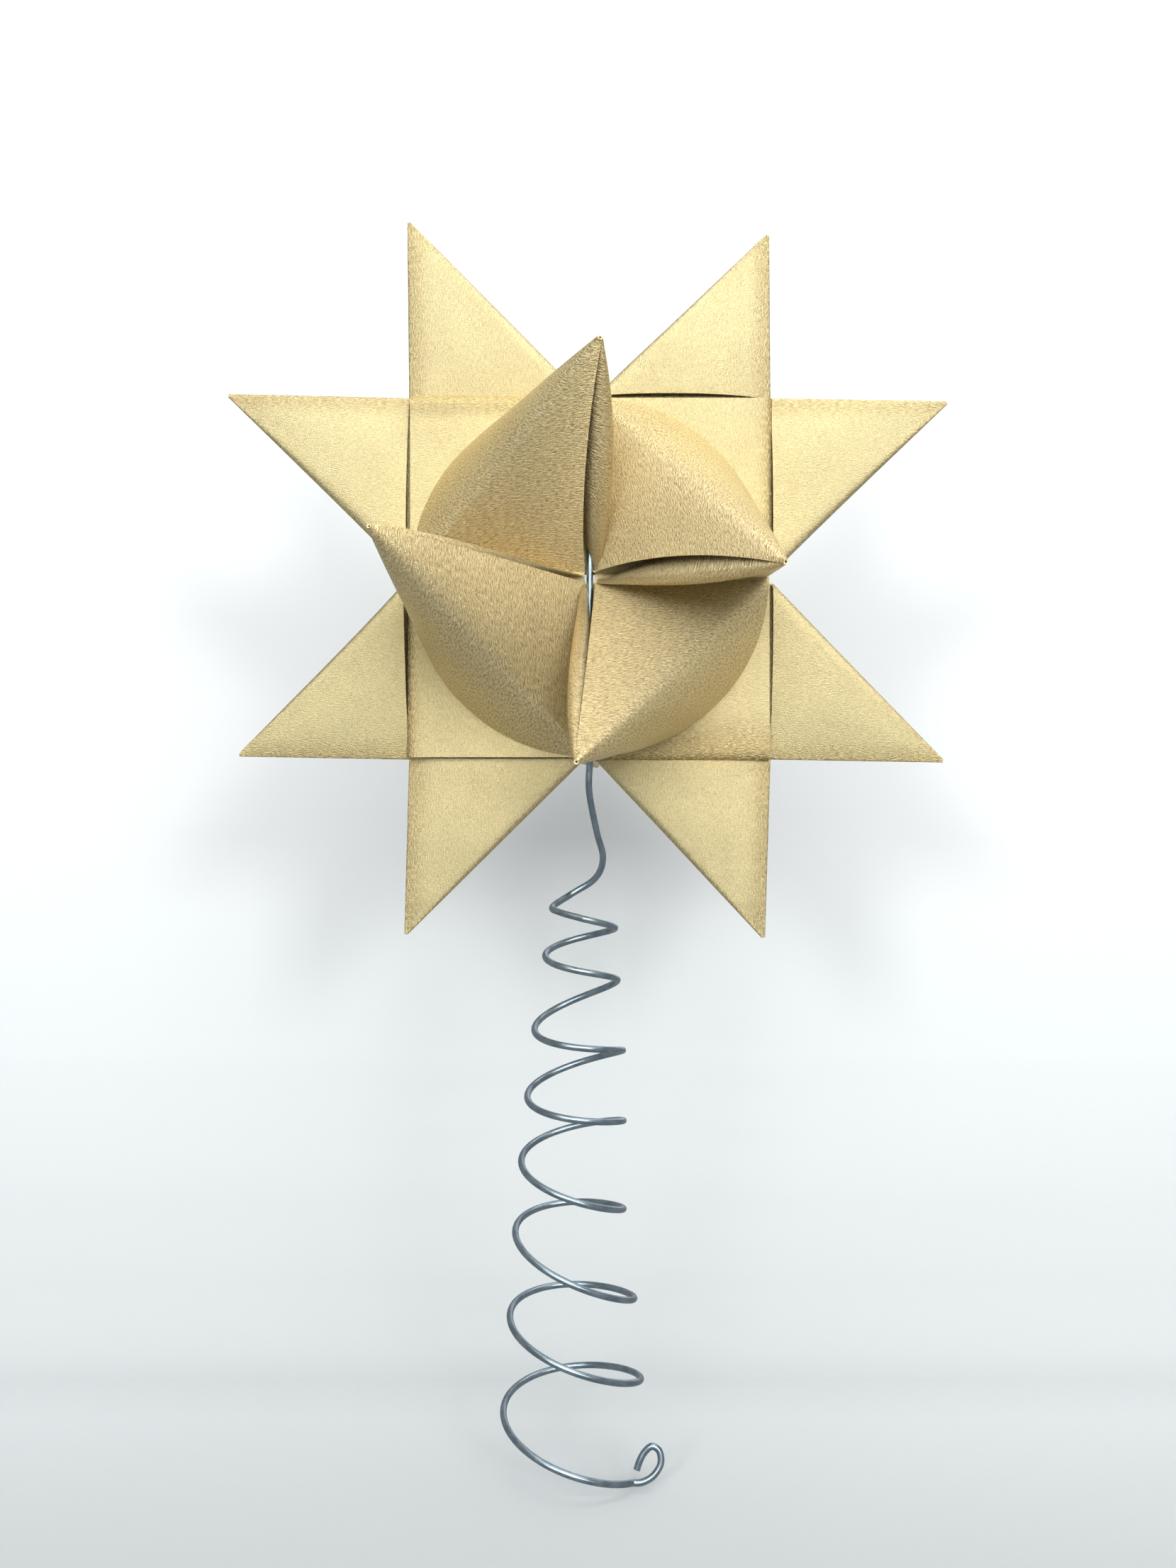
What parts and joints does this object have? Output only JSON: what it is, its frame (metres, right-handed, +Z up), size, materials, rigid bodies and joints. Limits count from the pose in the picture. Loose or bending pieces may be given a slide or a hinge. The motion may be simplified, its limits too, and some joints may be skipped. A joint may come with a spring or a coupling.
{
  "type": "paper snowflake star tree topper",
  "caption": "Woven sixteen-point folded paper star with rolled cones front and back, standing on a conical wire spring that slips over a tree top.",
  "frame": {"origin": "middle of the spring's open lower end, at the level of its lowest wire", "axes": "+Z up along the wire stem, +X to the star's right as seen from the front, the star's front faces -Y"},
  "size_m": [0.12, 0.062, 0.2079],
  "materials": {
    "gold_paper": "pearl gold, satin, fine crepe grain across the strip",
    "gold_paper_curled": "pearl gold, satin, rolled",
    "galvanised_wire": "drawn galvanised wire, semi-bright"
  },
  "bodies": {
    "base": {"coil_lower": "galvanised_wire", "wire_end_eye": "galvanised_wire"},
    "spring_middle": {"coil_middle": "galvanised_wire"},
    "spring_top": {"coil_upper": "galvanised_wire"},
    "neck": {"wire_neck": "galvanised_wire"},
    "stem": {"wire_stem": "galvanised_wire"},
    "star": {"strip_a_band": "gold_paper", "strip_a_upright_point": "gold_paper", "strip_a_side_point": "gold_paper", "strip_a_front_cone": "gold_paper_curled", "strip_a_back_cone": "gold_paper_curled", "strip_b_band": "gold_paper", "strip_b_upright_point": "gold_paper", "strip_b_side_point": "gold_paper", "strip_b_front_cone": "gold_paper_curled", "strip_b_back_cone": "gold_paper_curled", "strip_c_band": "gold_paper", "strip_c_upright_point": "gold_paper", "strip_c_side_point": "gold_paper", "strip_c_front_cone": "gold_paper_curled", "strip_c_back_cone": "gold_paper_curled", "strip_d_band": "gold_paper", "strip_d_upright_point": "gold_paper", "strip_d_side_point": "gold_paper", "strip_d_front_cone": "gold_paper_curled", "strip_d_back_cone": "gold_paper_curled"}
  },
  "joints": [
    {"name": "spring_nod", "type": "hinge", "parent": "base", "child": "spring_middle", "pos_m": [0, 0, 0.0395], "axis": [1, 0, 0], "range_deg": [-20, 20], "stiffness_Nm_per_rad": 0.08},
    {"name": "spring_stretch", "type": "slide", "parent": "spring_middle", "child": "spring_top", "axis": [0, 0, 1], "range_m": [-0.012, 0.025], "stiffness_N_per_m": 400, "deforming": ["coil_middle"]},
    {"name": "spring_sway", "type": "hinge", "parent": "spring_top", "child": "neck", "pos_m": [0.00185, 0, 0.0916], "axis": [0, 1, 0], "range_deg": [-20, 20], "stiffness_Nm_per_rad": 0.08},
    {"name": "star_turn", "type": "hinge", "parent": "neck", "child": "stem", "pos_m": [0.003, -0.002, 0.118], "axis": [0, 0, 1], "continuous": true},
    {"name": "star_lift", "type": "slide", "parent": "stem", "child": "star", "axis": [0, 0, 1], "range_m": [0, 0.055]}
  ]
}
